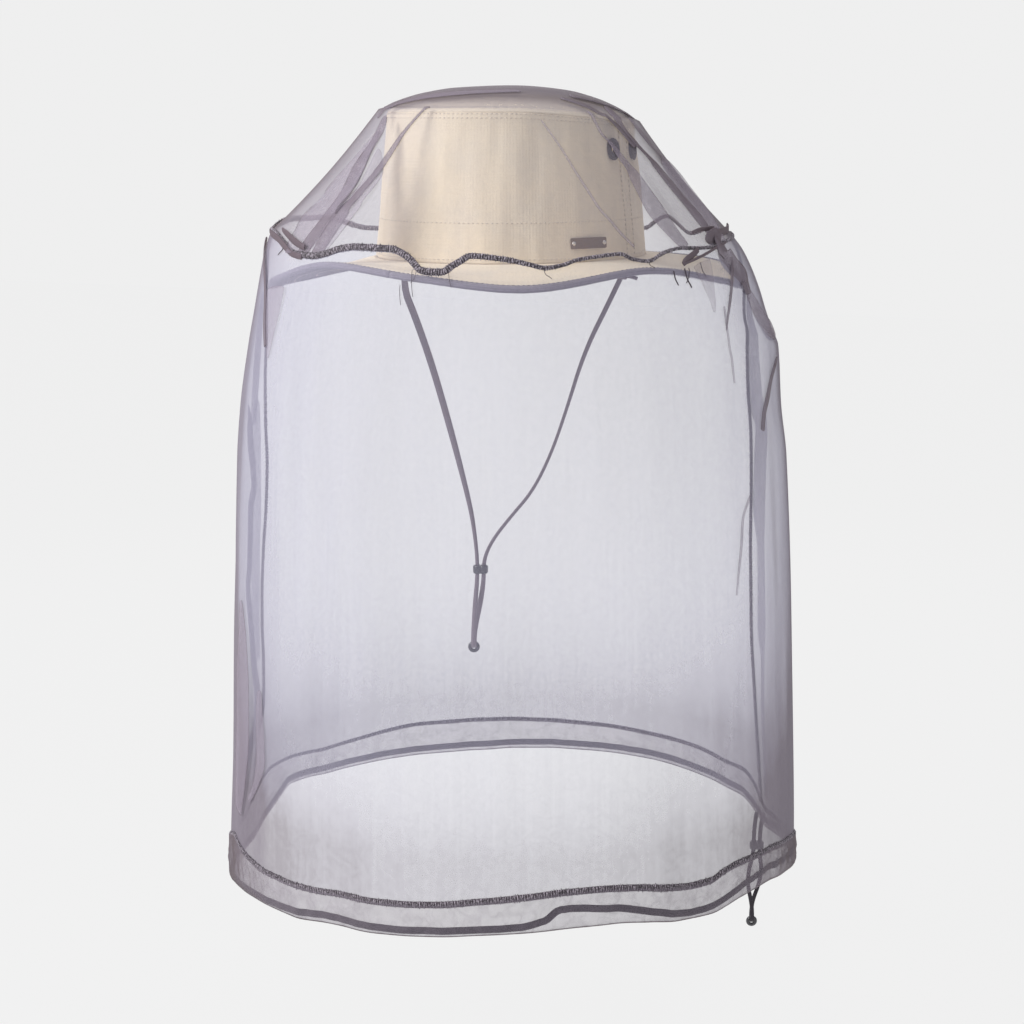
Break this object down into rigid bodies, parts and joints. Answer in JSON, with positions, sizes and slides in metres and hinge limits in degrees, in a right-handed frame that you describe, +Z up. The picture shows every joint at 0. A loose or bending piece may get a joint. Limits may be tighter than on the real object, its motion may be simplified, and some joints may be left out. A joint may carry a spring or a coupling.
{
  "type": "hat with insect net veil",
  "caption": "Canvas bucket hat with an adjustable chin cord and a separate see-through net veil that hangs over it to the shoulders, gathered at its hem by a drawcord.",
  "frame": {"origin": "middle of the head opening, in the plane where the crown meets the brim", "axes": "+Z up, -Y the wearer's front, +X the wearer's left"},
  "size_m": [0.3922, 0.3922, 0.6141],
  "materials": {
    "canvas": "cream cotton canvas, fine ripstop weave, matt",
    "sweatband_cloth": "cream cotton twill, matt",
    "interlining": "stiff off-white interlining",
    "underbrim_cloth": "grey-mauve cotton lining under the brim, matt",
    "binding_tape": "grey-mauve woven tape",
    "cord_braid": "grey-mauve flat braid",
    "antique_bronze": "antique bronze, brushed",
    "bright_rivet": "bright domed rivets",
    "eyelet_brass": "antique brass",
    "grey_plastic": "smooth grey plastic",
    "veil_net": "fine see-through grey-mauve net",
    "overlock_thread": "dark grey-mauve overlock stitching"
  },
  "bodies": {
    "hat": {"crown_tip": "canvas", "crown_front_panel": "canvas", "crown_back_panel": "canvas", "sweatband": "sweatband_cloth", "brim_top": "canvas", "brim_interlining": "interlining", "brim_underside": "underbrim_cloth", "brim_binding": "binding_tape", "badge_plate": "antique_bronze", "badge_rivets": "bright_rivet", "vent_eyelets": "eyelet_brass", "eyelet_washers": "eyelet_brass", "chin_cord_tabs": "binding_tape", "chin_cord_knots": "cord_braid", "chin_cord": "cord_braid", "chin_cord_ring": "grey_plastic"},
    "chin_slider": {"chin_cord_slider": "grey_plastic"},
    "veil": {"veil_top": "veil_net", "veil_front": "veil_net", "veil_back": "veil_net", "veil_top_seam": "overlock_thread", "veil_left_seam": "overlock_thread", "veil_right_seam": "overlock_thread", "hem_band": "veil_net", "hem_overlock": "overlock_thread", "hem_drawcord": "cord_braid", "drawcord_loop": "cord_braid", "drawcord_ring": "grey_plastic"},
    "hem_slider": {"drawcord_slider": "grey_plastic"}
  },
  "joints": [
    {"name": "veil_lift", "type": "slide", "parent": "hat", "child": "veil", "axis": [0, 0, 1], "range_m": [0, 0.62]},
    {"name": "chin_slider_slide", "type": "slide", "parent": "hat", "child": "chin_slider", "axis": [0, 0, 1], "range_m": [-0.044, 0.006], "deforming": ["chin_cord"]},
    {"name": "hem_slider_slide", "type": "slide", "parent": "veil", "child": "hem_slider", "axis": [0, 0, 1], "range_m": [-0.048, 0.006], "deforming": ["drawcord_loop"]}
  ]
}
